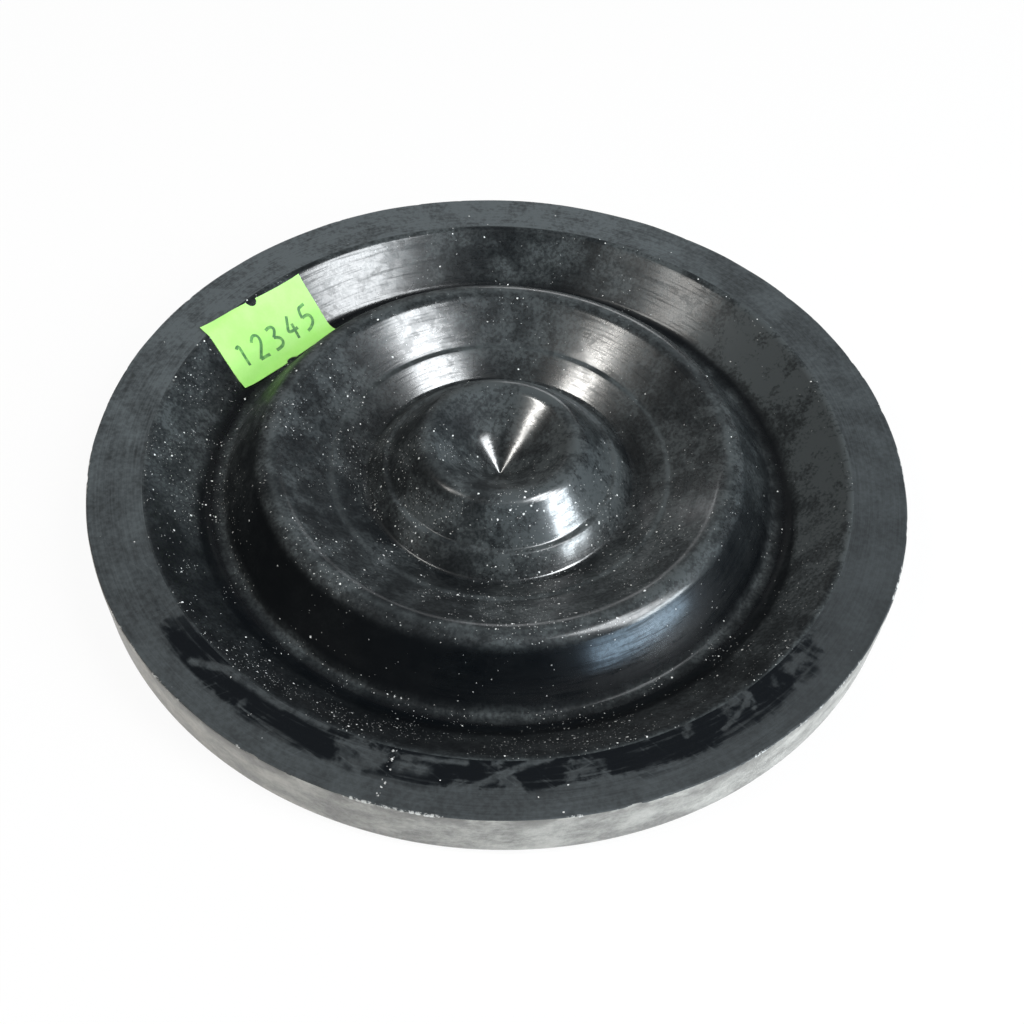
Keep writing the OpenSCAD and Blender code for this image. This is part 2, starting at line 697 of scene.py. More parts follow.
class Scuffs(Effect):
    """Short straight rubs that lie side by side on a level face."""

    title = "scuffs"
    values = ("Angle", "Length", "Width", "Low", "High")

    def wire(self, w: Wiring, given: bpy.types.NodeOutputs) -> Socket:
        """Stretches noise along a direction of the face."""
        turned = w.add("ShaderNodeVectorRotate", rotation_type="Z_AXIS")
        w.feed(turned.inputs["Vector"], w.plan())
        w.feed(turned.inputs["Angle"], given["Angle"])
        scale = w.add("ShaderNodeCombineXYZ")
        w.feed(scale.inputs["X"], w.math("DIVIDE", 1.0, given["Length"]))
        w.feed(scale.inputs["Y"], w.math("DIVIDE", 1.0, given["Width"]))
        at = w.vector("MULTIPLY", turned.outputs["Vector"], scale.outputs["Vector"])
        return w.span(w.noise(1.0, detail=2.0, at=at), given["Low"], given["High"])


class EdgeChips(Effect):
    """Pale chips along the rim's trimmed top edge."""

    title = "edge_chips"
    values = ("Edge", "Top")

    def wire(self, w: Wiring, given: bpy.types.NodeOutputs) -> Socket:
        """Reaches from the edge as far as broken runs of noise let it."""
        away = w.math("ADD",
                      w.math("SUBTRACT", given["Edge"], w.radius()),
                      w.math("SUBTRACT", given["Top"], w.height()))
        runs = w.span(w.noise(9 * MM, detail=4.0, rough=0.6), 0.46, 0.58)
        breaks = w.span(w.noise(0.7 * MM, rough=0.7), 0.34, 0.58)
        reach = w.times(runs, breaks, 0.5 * MM)
        return w.span(away, w.times(reach, 0.5), reach, 1.0, 0.0)


CLOUDS, SPECKS, RING_MARKS = Clouds(), Specks(), RingMarks()
BAND, WIPE, SCUFFS, EDGE_CHIPS = Band(), Wipe(), Scuffs(), EdgeChips()


@dataclass(frozen=True)
class Ring:
    """A soft ring of wear round the axis."""

    radius: float
    width: float
    share: float

    def mask(self, w: Wiring) -> Socket:
        """Marks the ring, as strongly as its share."""
        return w.times(BAND.place(w, Radius=self.radius, Width=self.width), self.share)


@dataclass(frozen=True)
class Stroke:
    """A straight mark on the disc as seen from above, in millimetres."""

    start: Plan
    end: Plan
    width: float

    def mask(self, w: Wiring, fray: Socket) -> Socket:
        """Marks the stroke, with sides that an offset in metres frays."""
        start, end = [(x * MM, y * MM, 0.0) for x, y in (self.start, self.end)]
        return WIPE.place(w, From=start, To=end, Width=self.width * MM, Fray=fray)


@dataclass(frozen=True)
class Side:
    """A stretch of the disc between two radii, on the side towards a direction.

    It begins and is full where a place lies that far round: one is straight in the direction,
    nought is square to it. Its ends at the two radii are soft to either side.
    """

    inner: float
    outer: float
    direction: Direction
    begins: float
    full: float
    share: float = 1.0
    soft: float = 1 * MM

    def mask(self, w: Wiring) -> Socket:
        """Marks the stretch, with soft ends all round."""
        return w.times(
            w.span(w.radius(), self.inner - self.soft, self.inner + self.soft),
            w.span(w.radius(), self.outer - self.soft, self.outer + self.soft, 1.0, 0.0),
            w.span(w.toward(self.direction), self.begins, self.full, 0.0, self.share))


@dataclass(frozen=True)
class Finish:
    """A finish with a name: what its shader shows, and how that changes over the surface."""

    name: str

    def dress(self, w: Wiring, shader: bpy.types.NodeInputs) -> None:
        """Feeds the shader's inputs.

        Args:
            w: The wiring of the material's tree.
            shader: The inputs of its Principled BSDF.
        """
        raise NotImplementedError

    def material(self) -> bpy.types.Material:
        """Makes the finish's material.

        Returns:
            The material.
        """
        made = bpy.data.materials.new(self.name)
        made.use_nodes = True
        self.dress(Wiring(made.node_tree), made.node_tree.nodes["Principled BSDF"].inputs)
        return made


@dataclass(frozen=True)
class BowlRubber(Finish):
    """Rubber inside the rim: an oily film with bloom that carries painted shade, turning marks, worn lines
    and dust.
    """

    section: DiscSection
    black: Colour = (0.0012, 0.0022, 0.0034)
    bloom: Colour = (0.066, 0.075, 0.0776)
    dust: Colour = (0.88, 0.89, 0.88)
    film_ior: float = 2.1
    film_rough: float = 0.19
    gloss_under_film: float = 0.15
    relief: float = 0.008 * MM
    crumbs: tuple[Stroke, ...] = (
        Stroke((31.3, -49.8), (45.9, -39.8), 2.4),
        Stroke((12.6, -43.5), (21.1, -40.5), 3.2),
        Stroke((-10.8, -33.3), (13.9, -32.9), 5.0),
        Stroke((-40.1, -48.6), (-25.2, -58.2), 6.0),
        Stroke((-25.2, -58.2), (6.3, -61.7), 5.0),
    )

    def dress(self, w: Wiring, shader: bpy.types.NodeInputs) -> None:
        """Lays bloom, with painted shade in it, and dust over black, and a film over both that the worn and
        bare places lack.
        """
        blotch = CLOUDS.place(w, Size=3 * MM, Low=0.36, High=0.68)
        grain = CLOUDS.place(w, Size=0.7 * MM, Low=0.34, High=0.66)
        marks = w.times(RING_MARKS.place(w, Pitch=0.25 * MM, Turns=2.5, Low=0.42, High=0.72), 0.05)
        worn, dust = self.worn_mask(w), self.dust_mask(w)
        dull = w.total(worn, self.bare_mask(w), dust)
        # The bloom's share holds painted shade: darker in the groove, the trough and on the near side.
        haze = w.times(self.bloom_and_shade_mask(w), w.grade(grain, 0.5, 1.15))
        skin = w.blend(w.total(haze, w.times(worn, 0.3)), self.black, self.bloom)
        w.feed(shader["Base Color"], w.blend(dust, skin, self.dust))
        shader["Specular IOR Level"].default_value = self.gloss_under_film
        shader["Coat IOR"].default_value = self.film_ior
        shader["Coat Roughness"].default_value = self.film_rough
        w.feed(shader["Roughness"], w.total(w.grade(blotch, 0.28, 0.36), marks, w.times(dull, 0.3)))
        film = w.times(w.outside(dull), w.span(grain, 0.2, 1.0, 1.0, 0.75), self.film_mask(w))
        w.feed(shader["Coat Weight"], film)
        height = w.math("ADD", w.times(marks, 5.0), blotch)
        w.feed(shader["Normal"], w.relief(height, self.relief))

    def film_mask(self, w: Wiring) -> Socket:
        """Thins the film in flakes, along fine streaks round the axis and beyond the trough.

        Args:
            w: The wiring of the material's tree.

        Returns:
            The film's weight.
        """
        flakes = w.times(CLOUDS.place(w, Size=2.4 * MM, Low=0.48, High=0.58),
                         CLOUDS.place(w, Size=14 * MM, Low=0.42, High=0.58),
                         w.outside(self.flank().mask(w)))
        streaks = RING_MARKS.place(w, Pitch=0.3 * MM, Turns=5.0, Low=0.46, High=0.7)
        beyond = w.span(w.radius(), self.section.foot_r, self.section.sweep_r, 1.0, 0.6)
        return w.times(w.grade(flakes, 1.0, 0.6), w.grade(streaks, 1.0, 0.45), beyond)

    def worn_mask(self, w: Wiring) -> Socket:
        """Marks the lines that are worn pale: the crest, the lip, the steps and the crease.

        Args:
            w: The wiring of the material's tree.

        Returns:
            The mask.
        """
        s = self.section
        lines = [ring.mask(w) for ring in (
            Ring(s.ridge_r, 2.4 * MM, 1.0),
            Ring(s.boss_r, 2.6 * MM, 0.9),
            Ring(s.bowl_step_r, 2.6 * MM, 0.9),
            Ring(s.boss_step_r, 1.4 * MM, 0.3),
            Ring(s.rim_inner_r - 0.1 * MM, 0.8 * MM, 0.7),
        )]
        uneven = CLOUDS.place(w, Size=5 * MM, Low=0.3, High=0.62)
        return w.times(w.total(*lines), w.grade(uneven, 0.6, 1.0))

    def bare_mask(self, w: Wiring) -> Socket:
        """Marks where the film is missing: in the crease, in the foot's corner and on some sides.

        Args:
            w: The wiring of the material's tree.

        Returns:
            The mask.
        """
        s = self.section
        return w.total(*[place.mask(w) for place in (
            Ring(s.boss_step_r + 0.4 * MM, 2.2 * MM, 0.7),
            Ring(s.foot_r - 0.4 * MM, 4.4 * MM, 0.95),
            Ring(s.rim_inner_r - 0.5 * MM, 2.4 * MM, 0.7),
            Side(0.42 * s.boss_r, s.boss_r, LEFT, -0.1, 0.25, 1.0),
            Side(0.0, s.boss_r, NEAR, -0.2, 0.3, 0.9),
            Side(s.boss_r - MM, s.groove_r, LEFT, -0.05, 0.3, 0.85),
            Side(s.groove_r + MM, s.ridge_r - MM, NEAR, 0.1, 0.5, 0.8),
            Side(s.ridge_r - MM, s.foot_r, LEFT, -0.05, 0.3, 0.9),
            Side(s.ridge_r, s.ridge_r + 3.5 * MM, NEAR, 0.3, 0.6, 0.6),
            Side(s.sweep_r + MM, s.rim_inner_r, NEAR_LEFT, 0.2, 0.6, 0.8),
            Side(s.sweep_r + MM, s.rim_inner_r, RIGHT, 0.2, 0.5, 0.75),
        )])

    def flank(self) -> Side:
        """Gives the ridge's near flank."""
        return Side(self.section.ridge_r + 2.6 * MM, self.section.foot_r - MM, NEAR, -0.4, 0.5)

    def bloom_and_shade_mask(self, w: Wiring) -> Socket:
        """Spreads the bloom in clouds and paints shade into it: thin in the groove, the trough, on the
        ridge's near flank and the near slope; thicker on the boss, up the bowl's wall and on the right
        slope.

        Args:
            w: The wiring of the material's tree.

        Returns:
            The mask.
        """
        s = self.section
        cloud = w.grade(CLOUDS.place(w, Size=24 * MM, Low=0.34, High=0.62), 0.3, 1.0)
        mottle = w.grade(CLOUDS.place(w, Size=5 * MM, Low=0.38, High=0.62), 0.5, 1.1)
        # Painted shade in the groove: the bloom is thick on the boss, thinnest in the groove and thickens
        # again up the bowl's wall.
        boss = w.span(w.radius(), s.boss_step_r, s.groove_r, 1.6, 0.6)
        bowl = w.span(w.radius(), s.groove_r + 2 * MM, s.bowl_step_r, 1.0, 1.6)
        right = w.grade(Side(s.sweep_r + MM, s.rim_inner_r, RIGHT, 0.3, 0.8).mask(w), 1.0, 2.6)
        # Painted shade: the ridge's near flank, the trough and the near slope lose most of their bloom and
        # show darker.
        thin = w.total(
            self.flank().mask(w),
            BAND.place(w, Radius=s.sweep_r + MM, Width=6 * MM),
            Side(s.sweep_r + MM, s.rim_inner_r, NEAR, -0.1, 0.5, 0.75).mask(w))
        return w.times(cloud, mottle, boss, bowl, right, w.outside(w.times(thin, 0.95)))

    def dust_mask(self, w: Wiring) -> Socket:
        """Gathers coarse and fine grains, which lie thickest on the near side and the left.

        Args:
            w: The wiring of the material's tree.

        Returns:
            The mask.
        """
        patchy = w.times(CLOUDS.place(w, Size=11 * MM, Low=0.4, High=0.64),
                         w.span(w.toward(NEAR_LEFT), -0.6, 0.6, 0.15, 0.95),
                         w.outside(w.times(self.flank().mask(w), 0.85)))
        fray = w.fray(2.4 * MM)
        rows = w.total(*[row.mask(w, fray) for row in self.crumbs])
        share = w.total(patchy, w.times(rows, 0.4))
        coarse = SPECKS.place(w, Cell=1.2 * MM, Grain=0.25 * MM,
                              Share=w.math("ADD", w.times(share, 0.7), 0.03))
        fine = SPECKS.place(w, Cell=0.5 * MM, Grain=0.13 * MM, Share=w.times(share, 1.2))
        return w.total(coarse, w.times(fine, 0.5))


@dataclass(frozen=True)
class RimRubber(Finish):
    """The rim's top face: dull and dusty, with a gloss band rubbed bare along the near inner edge."""

    section: DiscSection
    grey: Colour = (0.0156, 0.0189, 0.0207)
    pale: Colour = (0.081, 0.0945, 0.1)
    black: Colour = (0.003, 0.0044, 0.0062)
    dust: Colour = (0.72, 0.72, 0.705)
    chip: Colour = (0.5, 0.5, 0.485)
    relief: float = 0.02 * MM
    crumbs: Stroke = Stroke((-13.3, -66.5), (-15.0, -74.0), 1.1)
    wipes: tuple[Stroke, ...] = (
        Stroke((-5.0, -74.4), (4.8, -69.0), 1.9),
        Stroke((4.8, -69.0), (11.0, -66.0), 1.9),
        Stroke((-12.5, -69.2), (-8.5, -69.6), 3.4),
        Stroke((-12.0, -67.6), (-2.0, -68.0), 1.4),
        Stroke((42.3, -51.7), (43.4, -52.8), 1.2),
        Stroke((43.4, -52.8), (42.9, -54.5), 1.3),
        Stroke((42.9, -54.5), (38.8, -59.4), 1.2),
        Stroke((62.0, -31.0), (58.5, -36.5), 2.6),
        Stroke((12.7, -71.3), (23.2, -68.5), 1.4),
        Stroke((23.2, -68.5), (31.2, -65.9), 1.4),
        Stroke((-53.1, -42.2), (-55.5, -44.9), 1.4),
        Stroke((-55.5, -44.9), (-56.1, -47.5), 1.8),
        Stroke((-48.4, -52.5), (-42.1, -53.8), 2.0),
        Stroke((-42.1, -53.8), (-32.1, -59.7), 2.6),
        Stroke((-32.1, -59.7), (-24.7, -63.2), 1.8),
        Stroke((-51.3, -52.3), (-47.1, -55.8), 1.6),
    )

    def dress(self, w: Wiring, shader: bpy.types.NodeInputs) -> None:
        """Mixes the dull face, with painted light in it, with the gloss band, then lays dust and chips over
        both.
        """
        gloss = self.gloss_mask(w)
        streaks = RING_MARKS.place(w, Pitch=0.32 * MM, Turns=4.0, Low=0.32, High=0.7)
        patches = CLOUDS.place(w, Size=7 * MM, Low=0.36, High=0.66)
        grain = CLOUDS.place(w, Size=1 * MM, Low=0.38, High=0.62)
        chips = EDGE_CHIPS.place(w, Edge=self.section.outer_r, Top=self.section.rim_h)
        dull = w.total(w.times(streaks, 0.3), w.times(patches, 0.45), w.times(grain, 0.35))
        # Painted light: the dull face is paler towards the far side and darker on the near side; it is also
        # darker to the right.
        dull = w.times(dull, w.span(w.toward(NEAR), -0.8, 0.8, 1.6, 0.55),
                       w.span(w.toward(RIGHT), 0.1, 0.8, 1.0, 0.5))
        skin = w.blend(gloss, w.blend(dull, self.grey, self.pale), self.black)
        skin = w.blend(self.dust_mask(w), skin, self.dust)
        w.feed(shader["Base Color"], w.blend(chips, skin, self.chip))
        w.feed(shader["Roughness"], w.grade(gloss, 0.6, 0.3))
        height = w.math("ADD", w.times(streaks, 0.5), w.times(grain, 0.5))
        w.feed(shader["Normal"], w.relief(w.math("SUBTRACT", height, chips), self.relief))

    def dust_mask(self, w: Wiring) -> Socket:
        """Scatters dust, thickest on the near side, and strews a row of crumbs across the rim.

        Args:
            w: The wiring of the material's tree.

        Returns:
            The mask.
        """
        dust = SPECKS.place(w, Cell=2.2 * MM, Grain=0.2 * MM,
                            Share=w.span(w.toward(NEAR), -0.6, 0.8, 0.05, 0.45))
        grains = SPECKS.place(w, Cell=0.6 * MM, Grain=0.3 * MM, Share=0.75)
        return w.total(dust, w.times(self.crumbs.mask(w, w.fray(0.8 * MM)), grains))

    def gloss_mask(self, w: Wiring) -> Socket:
        """Marks where the near side is rubbed bare: patches by the inner edge, wiped over in places.

        Args:
            w: The wiring of the material's tree.

        Returns:
            The mask.
        """
        inner = self.section.rim_inner_r
        patches = CLOUDS.place(w, Size=9 * MM, Low=0.36, High=0.54)
        smear = RING_MARKS.place(w, Pitch=0.7 * MM, Turns=6.0, Low=0.25, High=0.6)
        band = w.times(w.span(w.radius(), inner + 3.5 * MM, inner + 7.5 * MM, 1.0, 0.0),
                       w.span(w.toward(NEAR), 0.3, 0.85),
                       w.grade(patches, 0.35, 1.0), w.grade(smear, 0.6, 1.0))
        stain = w.times(CLOUDS.place(w, Size=7 * MM, Low=0.42, High=0.6),
                        w.span(w.toward(NEAR), 0.1, 0.7, 0.0, 0.25))
        scuffs = w.total(SCUFFS.place(w, Angle=0.6, Length=9 * MM, Width=0.7 * MM, Low=0.55, High=0.72),
                         SCUFFS.place(w, Angle=-0.5, Length=7 * MM, Width=0.6 * MM, Low=0.6, High=0.75))
        band = w.span(w.math("SUBTRACT", w.total(band, stain), w.times(scuffs, 0.25)), 0.2, 0.9)
        fray = w.fray(1.4 * MM)
        rubbed = w.total(*[stroke.mask(w, fray) for stroke in self.wipes])
        smudge = w.grade(CLOUDS.place(w, Size=1.6 * MM, Low=0.34, High=0.6), 0.45, 0.85)
        return w.math("SUBTRACT", band, w.times(rubbed, smudge), clamp=True)


@dataclass(frozen=True)
class WallRubber(Finish):
    """The rim's outer wall: scuffed pale, with streaks that run round it."""

    section: DiscSection
    dark: Colour = (0.163, 0.159, 0.148)
    pale: Colour = (0.51, 0.494, 0.458)
    chip: Colour = (0.66, 0.66, 0.64)
    flatten: Direction = (1.0, 1.0, 1.8)
    relief: float = 0.025 * MM

    def dress(self, w: Wiring, shader: bpy.types.NodeInputs) -> None:
        """Streaks the scuffing along the wall, chips the top edge and paints a contact shadow along the
        foot.
        """
        top = self.section.rim_h
        flat = w.vector("MULTIPLY", w.point(), self.flatten)
        streaks = w.span(w.noise(10 * MM, detail=7.0, rough=0.72, at=flat), 0.36, 0.64)
        grain = CLOUDS.place(w, Size=0.8 * MM, Low=0.3, High=0.7)
        chips = EDGE_CHIPS.place(w, Edge=self.section.outer_r, Top=top)
        # Painted contact shadow: the pale share falls away over the lowest 1.6 mm of the wall.
        foot = w.span(w.height(), 0.3 * MM, 1.6 * MM, 0.15, 1.0)
        smudge = w.times(w.span(w.height(), 0.7 * top, top, 0.0, 0.8),
                         CLOUDS.place(w, Size=8 * MM, Low=0.42, High=0.58))
        scuffed = w.math("ADD", w.times(streaks, 0.8), w.times(grain, 0.2))
        share = w.times(scuffed, w.math("SUBTRACT", foot, smudge, clamp=True))
        w.feed(shader["Base Color"], w.blend(chips, w.blend(share, self.dark, self.pale), self.chip))
        w.feed(shader["Roughness"], w.grade(streaks, 0.38, 0.55))
        height = w.math("SUBTRACT", w.math("ADD", streaks, grain), chips)
        w.feed(shader["Normal"], w.relief(height, self.relief))


@dataclass(frozen=True)
class BackRubber(Finish):
    """The underside: dull moulded rubber with bloom, turning marks and a scuffed seat."""

    section: DiscSection
    black: Colour = (0.02, 0.0215, 0.023)
    bloom: Colour = (0.08, 0.083, 0.084)
    relief: float = 0.015 * MM

    def dress(self, w: Wiring, shader: bpy.types.NodeInputs) -> None:
        """Lays bloom over black, thickest on the seat that rests on the table."""
        haze = CLOUDS.place(w, Size=20 * MM, Low=0.38, High=0.66)
        marks = RING_MARKS.place(w, Pitch=0.5 * MM, Turns=2.5, Low=0.35, High=0.72)
        seat = w.span(w.radius(), self.section.foot_r, self.section.sweep_r + MM, 0.0, 0.45)
        share = w.total(w.times(haze, 0.45), w.times(marks, 0.15), seat)
        w.feed(shader["Base Color"], w.blend(share, self.black, self.bloom))
        w.feed(shader["Roughness"], w.grade(haze, 0.38, 0.6))
        w.feed(shader["Normal"], w.relief(marks, self.relief))


@dataclass(frozen=True)
class LabelPaper(Finish):
    """Fluorescent paper with a faint mottle."""

    green: Colour = (0.43, 0.95, 0.2)
    light: Colour = (0.53, 0.985, 0.28)
    relief: float = 0.01 * MM

    def dress(self, w: Wiring, shader: bpy.types.NodeInputs) -> None:
        """Mottles the colour and roughens the face with fibres."""
        mottle = CLOUDS.place(w, Size=9 * MM, Low=0.35, High=0.65)
        fibres = CLOUDS.place(w, Size=0.5 * MM, Low=0.3, High=0.7)
        share = w.math("ADD", w.times(mottle, 0.75), w.times(fibres, 0.25))
        w.feed(shader["Base Color"], w.blend(share, self.green, self.light))
        w.feed(shader["Roughness"], w.grade(fibres, 0.45, 0.6))
        w.feed(shader["Normal"], w.relief(fibres, self.relief))


@dataclass(frozen=True)
class PenInk(Finish):
    """Felt pen that fades a little along each stroke."""

    full: Colour = (0.063, 0.22, 0.063)
    thin: Colour = (0.2, 0.53, 0.13)

    def dress(self, w: Wiring, shader: bpy.types.NodeInputs) -> None:
        """Thins the ink in soft patches."""
        thin = CLOUDS.place(w, Size=1.6 * MM, Low=0.4, High=0.68)
        w.feed(shader["Base Color"], w.blend(thin, self.full, self.thin))
        w.feed(shader["Roughness"], w.grade(thin, 0.5, 0.65))


@dataclass
class RubberDisc:
    """The moulded disc: its section drawn point by point and spun round the axis."""

    section: DiscSection
    turn: float = math.radians(5)
    small_turn: float = math.radians(12)
    large_round: float = 1.5 * MM
    bay: float = 1.6 * MM
    spokes: int = 640
    merge: float = 0.0002 * MM
    ragged_zone: float = 2.4 * MM
    ripple: float = 0.12 * MM
    ripple_run: float = 9 * MM
    nick: float = 0.25 * MM
    nick_run: float = 2.2 * MM
    nick_from: float = 0.35
    nick_full: float = 0.75
    nick_offset: Direction = (7.0, 0.0, 0.0)
    sink: float = 0.45
    back_below: float = -0.3
    level_above: float = 0.7

    def build(self) -> bpy.types.Object:
        """Models the disc and dresses it.

        Returns:
            The disc.
        """
        outline = self.section.outline(self.turn, self.small_turn, self.large_round, self.bay)
        deselect_all()
        bpy.ops.mesh.primitive_plane_add(size=MM)
        disc = bpy.context.object
        disc.name = disc.data.name = "rubber_disc"
        bpy.ops.object.mode_set(mode="EDIT")
        bpy.ops.mesh.merge(type="CENTER")
        bpy.ops.transform.translate(value=(outline[0].r, 0.0, outline[0].z))
        for last, point in zip(outline, outline[1:]):
            step = (point.r - last.r, 0.0, point.z - last.z)
            bpy.ops.mesh.extrude_vertices_move(TRANSFORM_OT_translate={"value": step})
        bpy.ops.mesh.select_all(action="SELECT")
        bpy.ops.mesh.spin(steps=self.spokes, angle=math.tau, center=(0, 0, 0), axis=(0, 0, 1))
        bpy.ops.mesh.select_all(action="SELECT")
        bpy.ops.mesh.remove_doubles(threshold=self.merge)
        bpy.ops.mesh.normals_make_consistent(inside=False)
        bpy.ops.object.mode_set(mode="OBJECT")
        self.fray_edge(disc.data)
        bpy.ops.object.shade_smooth()
        apply_modifier(disc, "WEIGHTED_NORMAL", weight=100)
        self.dress(disc)
        return disc

    def fray_edge(self, mesh: bpy.types.Mesh) -> None:
        """Wears the trimmed top edge back unevenly, always into the rubber.

        Args:
            mesh: The disc's mesh, which is changed.
        """
        edge = Vector((self.section.outer_r, 0.0, self.section.rim_h))
        for vertex in mesh.vertices:
            place = vertex.co
            radius = math.hypot(place.x, place.y)
            away = (Vector((radius, 0.0, place.z)) - edge).length
            if away > self.ragged_zone or radius < self.section.rim_inner_r:
                continue
            hold = (1 - away / self.ragged_zone) ** 2
            spot = Vector((place.x, place.y, 0.0))
            bite = self.ripple * max(0.0, HALF + noise.noise(spot / self.ripple_run))
            chance = noise.noise(spot / self.nick_run + Vector(self.nick_offset))
            bite += self.nick * max(0.0, chance - self.nick_from) / (self.nick_full - self.nick_from)
            inward = 1 - hold * bite / radius
            vertex.co = (place.x * inward, place.y * inward, place.z - self.sink * hold * bite)

    def zone(self, face: bpy.types.MeshPolygon) -> Zone:
        """Says which finish a face of the disc takes.

        Args:
            face: The face.

        Returns:
            Its zone.
        """
        radius = math.hypot(face.center.x, face.center.y)
        if face.normal.z < self.back_below:
            return Zone.BACK
        if radius < self.section.rim_inner_r:
            return Zone.BOWL
        return Zone.RIM if face.normal.z > self.level_above else Zone.WALL

    def dress(self, disc: bpy.types.Object) -> None:
        """Gives each zone of the disc its finish.

        Args:
            disc: The disc.
        """
        finishes = {
            Zone.BOWL: BowlRubber(Zone.BOWL.value, self.section),
            Zone.RIM: RimRubber(Zone.RIM.value, self.section),
            Zone.WALL: WallRubber(Zone.WALL.value, self.section),
            Zone.BACK: BackRubber(Zone.BACK.value, self.section),
        }
        order = list(Zone)
        for zone in order:
            disc.data.materials.append(finishes[zone].material())
        for face in disc.data.polygons:
            face.material_index = order.index(self.zone(face))


@dataclass
class PaperLabel:
    """The price label: a paper sheet that lies on the slope inside the rim."""

    section: DiscSection
    length: float = 26 * MM
    width: float = 16 * MM
    paper: float = 0.15 * MM
    glue: float = 0.03 * MM
    set_in: float = 0.8 * MM
    azimuth: float = math.radians(147)
    turn: float = math.radians(-8)
    nick_r: float = 1.25 * MM
    nick_sides: int = 32
    cells: tuple[int, int] = (52, 32)
    lift: float = 0.25 * MM
    lift_from: float = 0.28
    curl: float = 0.3 * MM
    curl_from: Plan = (0.3, 0.36)
    slope_turn: float = math.radians(3)
    smooth: float = math.radians(35)

    def __post_init__(self) -> None:
        """Reads the slope's section, and where the sheet's long edges lie as seen from above."""
        self.slope = self.section.slope_walk(self.slope_turn)
        self.radii = [point.r for point in self.slope]
        self.outer_r = self.laid_in(self.set_in)
        self.depth = self.outer_r - self.laid_in(self.set_in + self.width)

    def laid_in(self, length: float) -> float:
        """Finds the radius that a length reaches when it is laid inwards from the rim's top face.

        Args:
            length: The length along the rubber.

        Returns:
            The radius of its inner end.
        """
        start = bisect_right(self.radii, self.section.rim_inner_r + self.glue)
        walk = self.slope[start - 1::-1]
        for outer, inner in zip(walk, walk[1:]):
            step = math.hypot(outer.r - inner.r, outer.z - inner.z)
            if step >= length:
                return outer.r + (inner.r - outer.r) * length / step
            length -= step
        return walk[-1].r

    def ground(self, radius: float) -> SectionPoint:
        """Gives the point of the rubber's section at a radius.

        Args:
            radius: The distance from the axis.

        Returns:
            The point, with the normal there.
        """
        index = min(max(bisect_right(self.radii, radius), 1), len(self.slope) - 1)
        low, high = self.slope[index - 1], self.slope[index]
        share = (radius - low.r) / (high.r - low.r)
        return SectionPoint(radius, low.z + (high.z - low.z) * share,
                            low.normal + (high.normal - low.normal) * share)

    def place(self, across: float, along: float, rise: float) -> Vector:
        """Lays a point of the flat sheet on the rubber.

        Args:
            across: Its distance from the sheet's middle towards the rim, along the paper.
            along: Its distance from the middle along the sheet's long sides.
            rise: Its height over the sheet's lower face.

        Returns:
            The point in the part's frame.
        """
        middle = self.outer_r - self.depth / 2
        local = Matrix.Rotation(self.turn, 2) @ Vector((across * self.depth / self.width, along))
        spot = Matrix.Rotation(self.azimuth, 2) @ (Vector((middle, 0.0)) + local)
        ground = self.ground(spot.length)
        height = self.glue + rise + self.hover(across / self.width, along / self.length)
        outward = spot.normalized() * math.cos(ground.normal)
        return Vector((spot.x + outward.x * height, spot.y + outward.y * height,
                       ground.z + math.sin(ground.normal) * height))

    def hover(self, across: float, along: float) -> float:
        """Gives how far the paper stands off the rubber: at its inner edge and its corners.

        Args:
            across: The place across the sheet, from minus a half at the inner edge to a half.
            along: The place along the sheet, from minus a half to a half.

        Returns:
            The height of the gap beyond the glue.
        """
        inner = self.beyond(-across, self.lift_from)
        corner = math.prod(self.beyond(abs(at), start) for at, start in zip((across, along), self.curl_from))
        return self.lift * inner ** 2 + self.curl * corner ** 2

    @staticmethod
    def beyond(place: float, start: float) -> float:
        """Gives the share of the way from a start to the sheet's edge that a place has gone."""
        return max(0.0, place - start) / (HALF - start)

    def build(self) -> bpy.types.Object:
        """Models the sheet flat, cuts the nicks, lays it on the slope and dresses it.

        Returns:
            The label.
        """
        deselect_all()
        bpy.ops.mesh.primitive_grid_add(
            x_subdivisions=self.cells[1], y_subdivisions=self.cells[0], size=1.0)
        sheet = bpy.context.object
        sheet.name = sheet.data.name = "label_paper"
        bpy.ops.object.mode_set(mode="EDIT")
        bpy.ops.transform.resize(value=(self.width, self.length, 1.0))
        bpy.ops.object.mode_set(mode="OBJECT")
        apply_modifier(sheet, "SOLIDIFY", thickness=self.paper, offset=1.0)
        for side in (-1, 1):
            self.cut_nick(sheet, side * self.width / 2)
        for vertex in sheet.data.vertices:
            vertex.co = self.place(*vertex.co)
        make_active(sheet)
        bpy.ops.object.shade_smooth_by_angle(angle=self.smooth)
        sheet.data.materials.append(LabelPaper("label_paper").material())
        return sheet

    def cut_nick(self, sheet: bpy.types.Object, across: float) -> None:
        """Cuts a half-round nick into the middle of a long side.

        Args:
            sheet: The flat sheet.
            across: Where the long side lies.
        """
        deselect_all()
        bpy.ops.mesh.primitive_cylinder_add(
            vertices=self.nick_sides, radius=self.nick_r, depth=self.width, location=(across, 0.0, 0.0))
        punch = bpy.context.object
        apply_modifier(sheet, "BOOLEAN", object=punch, operation="DIFFERENCE", solver="EXACT")
        bpy.data.objects.remove(punch)


